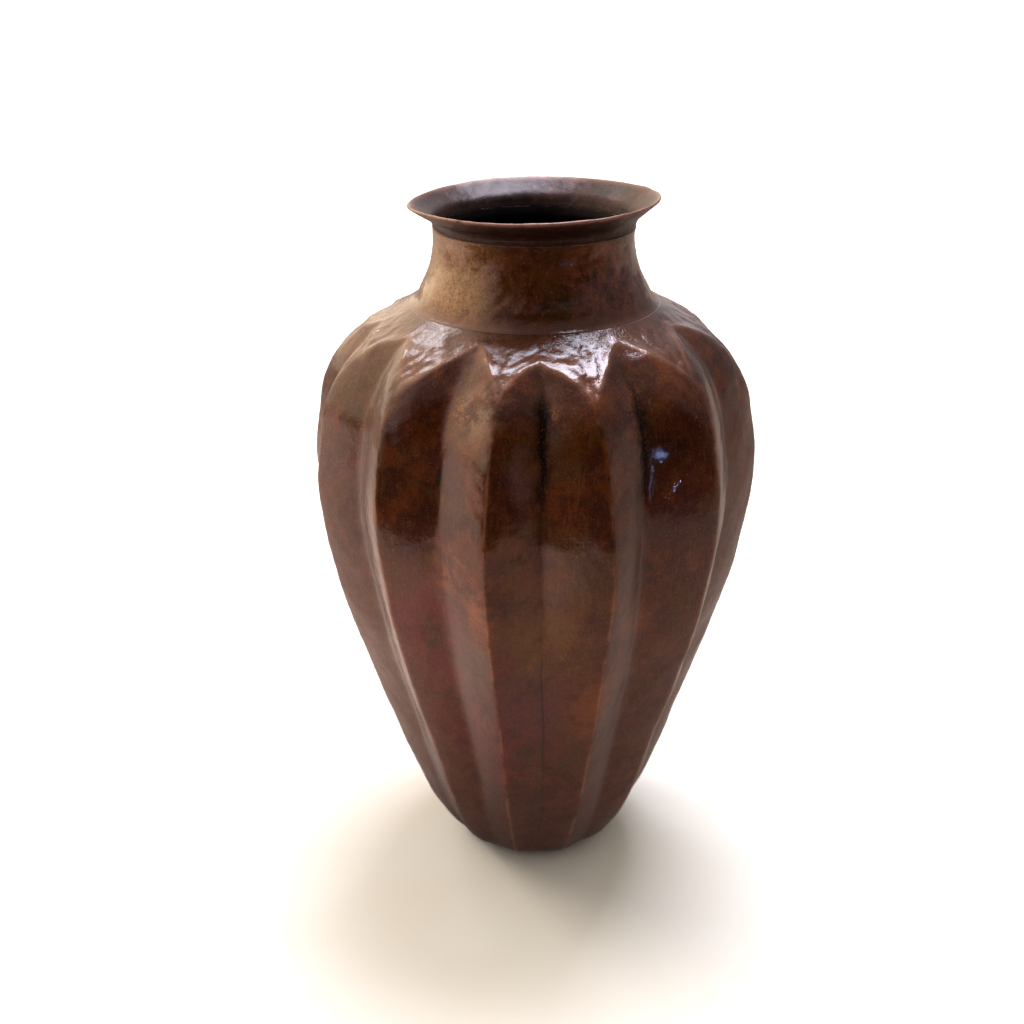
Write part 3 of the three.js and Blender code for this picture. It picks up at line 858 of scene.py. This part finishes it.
def hard_solder(name, dull, bright, coat):
    p = Paint(name)
    middle = p.noise(2.5, 5, 0.6, seed=41)
    colour = p.mix(p.step(middle, 0.4, 0.62), dull, bright)
    normal = p.bump(p.noise(0.7, 3, 0.6, seed=42), 0.4, 0.15)
    return p.finish(colour, 0.45, 0.5, normal, coat, 0.15)


# ---- Stage, light and camera ----

def area_light(name, place, target, size, power, colour):
    lamp = bpy.data.lights.new(name, "AREA")
    lamp.shape = "RECTANGLE"
    lamp.size, lamp.size_y = size
    lamp.energy = power
    lamp.color = colour
    holder = bpy.data.objects.new(name, lamp)
    holder.location = place
    holder.rotation_euler = (Vector(target) - Vector(place)).to_track_quat("-Z", "Y").to_euler()
    holder.visible_camera = False
    bpy.context.scene.collection.objects.link(holder)
    return holder


def glint(name, spot, azimuth, elevation):
    """A pinpoint blue lamp that only reaches one small place on the vase and glints there."""
    turn, rise = math.radians(azimuth), math.radians(elevation)
    away = Vector((math.sin(turn) * math.cos(rise), -math.cos(turn) * math.cos(rise), math.sin(rise)))
    lamp = bpy.data.lights.new(name, "SPOT")
    lamp.energy = 0.7
    lamp.color = (0.4, 0.5, 1.0)
    lamp.spot_size = math.radians(1.4)
    lamp.spot_blend = 0.3
    lamp.shadow_soft_size = 0.005
    holder = bpy.data.objects.new(name, lamp)
    holder.location = Vector(spot) + GLINT_DISTANCE * away
    holder.rotation_euler = (-away).to_track_quat("-Z", "Y").to_euler()
    holder.visible_camera = False
    bpy.context.scene.collection.objects.link(holder)


def light_path(tree, ray):
    return tree.nodes.new("ShaderNodeLightPath").outputs[ray]


# Strengths of the paper's glow in reflections and for the camera, then places on the paper in
# millimetres, then half the floor's width and the small lamps' distance in metres.
FLOOR_GLOW = 0.45
SUNLIT_GLOW = 0.65
WINDOW_GLOW = 0.6
BURNT_OUT_GLOW = 0.5
CAMERA_WORLD = 1.2
TABLE_EDGE = (-372, -360)
DARK_ROUND_FOOT = 62
DIM_ROUND_FOOT = 150
CLEAR_OF_VASE = 330
FAR_OFF = 700
FLOOR_HALF = 40.0
GLINT_DISTANCE = 1.5


def floor_paper():
    """Pale paper. Reflections see it brightest at the left and dark past its front edge."""
    p = Paint("floor_paper")
    colour = p.mix(p.step(p.noise(60, 4, seed=51), 0.35, 0.65), srgb(246, 234, 216), srgb(248, 238, 222))
    in_mirror = light_path(p.tree, "Is Glossy Ray")
    p.finish(p.mix(in_mirror, colour, (0, 0, 0, 1)), 0.9, 0.0, None, 0.0)
    axes = p.tree.nodes.new("ShaderNodeSeparateXYZ")
    p.tree.links.new(p.place, axes.inputs[0])
    sunlit = p.math("MULTIPLY", p.step(axes.outputs["X"], -20, -120), p.step(axes.outputs["Y"], 600, 200))
    on_table = p.step(axes.outputs["Y"], *TABLE_EDGE)
    glow = p.math("ADD", FLOOR_GLOW, p.math("MULTIPLY", sunlit, SUNLIT_GLOW))
    by_window = p.math("MULTIPLY", sunlit, p.step(axes.outputs["X"], -200, -1000))
    glow = p.math("ADD", glow, p.math("MULTIPLY", by_window, WINDOW_GLOW))
    glow = p.math("MULTIPLY", glow, p.math("ADD", 0.04, p.math("MULTIPLY", on_table, 0.96)))
    # Round the foot the glow is dimmed: a painted shadow of the vase in its own reflections.
    near_foot = p.math("SUBTRACT", 1.0, p.math("MULTIPLY", p.spot(0, 0, 0, DIM_ROUND_FOOT), 0.55))
    clear_of_foot = p.math("SUBTRACT", 1.0, p.spot(0, 0, 0, DARK_ROUND_FOOT))
    near_foot = p.math("MULTIPLY", near_foot, clear_of_foot)
    glow = p.math("MULTIPLY", p.math("MULTIPLY", glow, near_foot), in_mirror)
    # The camera sees the paper burn out to white away from the vase.
    burnt_out = p.math("SUBTRACT", 1.0, p.spot(0, 0, 0, CLEAR_OF_VASE))
    far_off = p.math("SUBTRACT", 1.0, p.spot(0, 0, 0, FAR_OFF))
    behind = p.math("MAXIMUM", p.step(axes.outputs["Y"], -200, 60), far_off)
    burnt_out = p.math("MULTIPLY", burnt_out, behind)
    burnt_out = p.math("MULTIPLY", burnt_out, light_path(p.tree, "Is Camera Ray"))
    glow = p.math("ADD", glow, p.math("MULTIPLY", burnt_out, BURNT_OUT_GLOW))
    tint = p.mix(in_mirror, (1.0, 1.0, 1.2, 1), (1.0, 0.74, 0.62, 1))
    p.link(tint, p.shader.inputs["Emission Color"])
    p.link(glow, p.shader.inputs["Emission Strength"])
    return p.material


def studio_floor():
    mesh = bpy.data.meshes.new("floor")
    corners = [(FLOOR_HALF * x, FLOOR_HALF * y, 0) for x, y in ((-1, -1), (1, -1), (1, 1), (-1, 1))]
    mesh.from_pydata(corners, [], [(0, 1, 2, 3)])
    floor = bpy.data.objects.new("floor", mesh)
    bpy.context.scene.collection.objects.link(floor)
    mesh.materials.append(floor_paper())


def studio_world():
    """Light from all round: one brightness for the camera, one for reflections and one for
    everything else."""
    world = bpy.data.worlds.new("studio")
    world.use_nodes = True
    bpy.context.scene.world = world
    tree = world.node_tree
    background = tree.nodes["Background"]
    place = tree.nodes.new("ShaderNodeTexCoord")

    def towards(azimuth, elevation, start, end, least, most):
        """Eases from least to most as the direction nears a given one."""
        turn, rise = math.radians(azimuth), math.radians(elevation)
        dot = tree.nodes.new("ShaderNodeVectorMath")
        dot.operation = "DOT_PRODUCT"
        dot.inputs[1].default_value = (
            math.sin(turn) * math.cos(rise), -math.cos(turn) * math.cos(rise), math.sin(rise))
        tree.links.new(place.outputs["Generated"], dot.inputs[0])
        shade = tree.nodes.new("ShaderNodeMapRange")
        shade.interpolation_type = "SMOOTHSTEP"
        shade.inputs["From Min"].default_value = start
        shade.inputs["From Max"].default_value = end
        shade.inputs["To Min"].default_value = least
        shade.inputs["To Max"].default_value = most
        tree.links.new(dot.outputs["Value"], shade.inputs["Value"])
        return shade.outputs[0]

    def combine(operation, a, b):
        node = tree.nodes.new("ShaderNodeMath")
        node.operation = operation
        tree.links.new(a, node.inputs[0])
        tree.links.new(b, node.inputs[1])
        return node.outputs[0]

    def choose(ray, otherwise, when):
        node = tree.nodes.new("ShaderNodeMix")
        tree.links.new(light_path(tree, ray), node.inputs[0])
        for value, socket in ((otherwise, node.inputs[2]), (when, node.inputs[3])):
            if isinstance(value, float):
                socket.default_value = value
            else:
                tree.links.new(value, socket)
        return node.outputs[0]

    # Reflections: bright at the left, and nearly black low in front, past the table's edge.
    room = towards(-125, 5, -0.05, 0.8, 0.2, 1.8)
    room = combine("MULTIPLY", room, towards(10, -12, 0.5, 0.64, 1.0, 0.02))
    strength = choose("Is Glossy Ray", towards(-160, 40, -0.4, 0.8, 0.34, 0.72), room)
    strength = choose("Is Camera Ray", strength, CAMERA_WORLD)
    warm = tree.nodes.new("ShaderNodeMix")
    warm.data_type = "RGBA"
    tree.links.new(towards(-120, 10, 0.1, 0.8, 0.0, 1.0), warm.inputs["Factor"])
    warm.inputs["A"].default_value = (0.94, 0.92, 1.0, 1)
    warm.inputs["B"].default_value = (1.0, 0.8, 0.58, 1)
    white = tree.nodes.new("ShaderNodeMix")
    white.data_type = "RGBA"
    tree.links.new(light_path(tree, "Is Glossy Ray"), white.inputs["Factor"])
    white.inputs["A"].default_value = (1.0, 0.985, 0.96, 1)
    tree.links.new(warm.outputs["Result"], white.inputs["B"])
    tree.links.new(white.outputs["Result"], background.inputs["Color"])
    tree.links.new(strength, background.inputs["Strength"])


def studio_lamps():
    aim = (0, 0, 0.12)
    window = area_light("window_left", (-1.35, 0.7, 1.15), aim, (0.9, 0.9), 21, (1.0, 0.95, 0.88))
    window.visible_glossy = False
    area_light("skylight", (0.2, 0.48, 1.7), aim, (0.85, 0.75), 40, (0.76, 0.82, 1.0))
    area_light("side_pane", (-0.73, 0.87, 1.35), aim, (0.26, 0.26), 2.4, (0.85, 0.88, 1.0))
    glint("body_glint", (0.043, -0.060, 0.181), 38, -6)
    glint("neck_glint", (0.0105, -0.0345, 0.240), 35, -3)


CAMERA_AZIMUTH = math.radians(-2)
CAMERA_PITCH = math.radians(24.89)
CAMERA_REACH = 0.4087
CAMERA_HEIGHT = 0.3277
FOCUS_DISTANCE = 0.38


def camera():
    """Close in front, looking down, with the foot slightly out of focus."""
    data = bpy.data.cameras.new("camera")
    eye = bpy.data.objects.new("camera", data)
    eye.location = (
        CAMERA_REACH * math.sin(CAMERA_AZIMUTH), -CAMERA_REACH * math.cos(CAMERA_AZIMUTH),
        CAMERA_HEIGHT,
    )
    eye.rotation_euler = (math.radians(90) - CAMERA_PITCH, 0, CAMERA_AZIMUTH)
    data.sensor_width = 36
    data.lens = 42.19
    data.shift_x = -0.0215
    data.dof.use_dof = True
    data.dof.focus_distance = FOCUS_DISTANCE
    data.dof.aperture_fstop = 16
    data.clip_start = 0.02
    data.clip_end = 100
    bpy.context.scene.collection.objects.link(eye)
    bpy.context.scene.camera = eye


# ---- Assembly ----

def place_piece(piece, material, slot, *nodes):
    piece.data.materials.append(material)
    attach(piece, "root")
    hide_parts(*nodes)


def dress_cad_node(node, material):
    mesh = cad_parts[node].data
    mesh.materials.clear()
    mesh.materials.append(material)


solder = hard_solder("hard_solder", srgb(64, 38, 24), srgb(96, 66, 46), 0.6)
tarnished = hard_solder("tarnished_solder", srgb(16, 9, 7), srgb(30, 18, 13), 0.0)
place_piece(fluted_wall(), body_patina(), "body_patina", "fluted_body")
place_piece(neck(), neck_patina(), "neck_patina", "neck_collar")
place_piece(lip(), lip_patina(), "lip_copper", "lip_flange")
place_piece(bottom_disc(), bare_copper(), "bottom_copper", "base_disc")
bead = ring_of_solder("lip_bead", LIP_ROOT_RADIUS - 0.12, LIP_SEAT - 0.15, 0.3, 0.32, 61)
place_piece(bead, solder, "solder", "lip_solder_bead")
for hidden in ("side_seam_solder", "neck_solder_fillet", "base_solder_fillet"):
    dress_cad_node(hidden, tarnished)

studio_floor()
studio_world()
studio_lamps()
camera()
bpy.context.scene.view_settings.view_transform = "Standard"
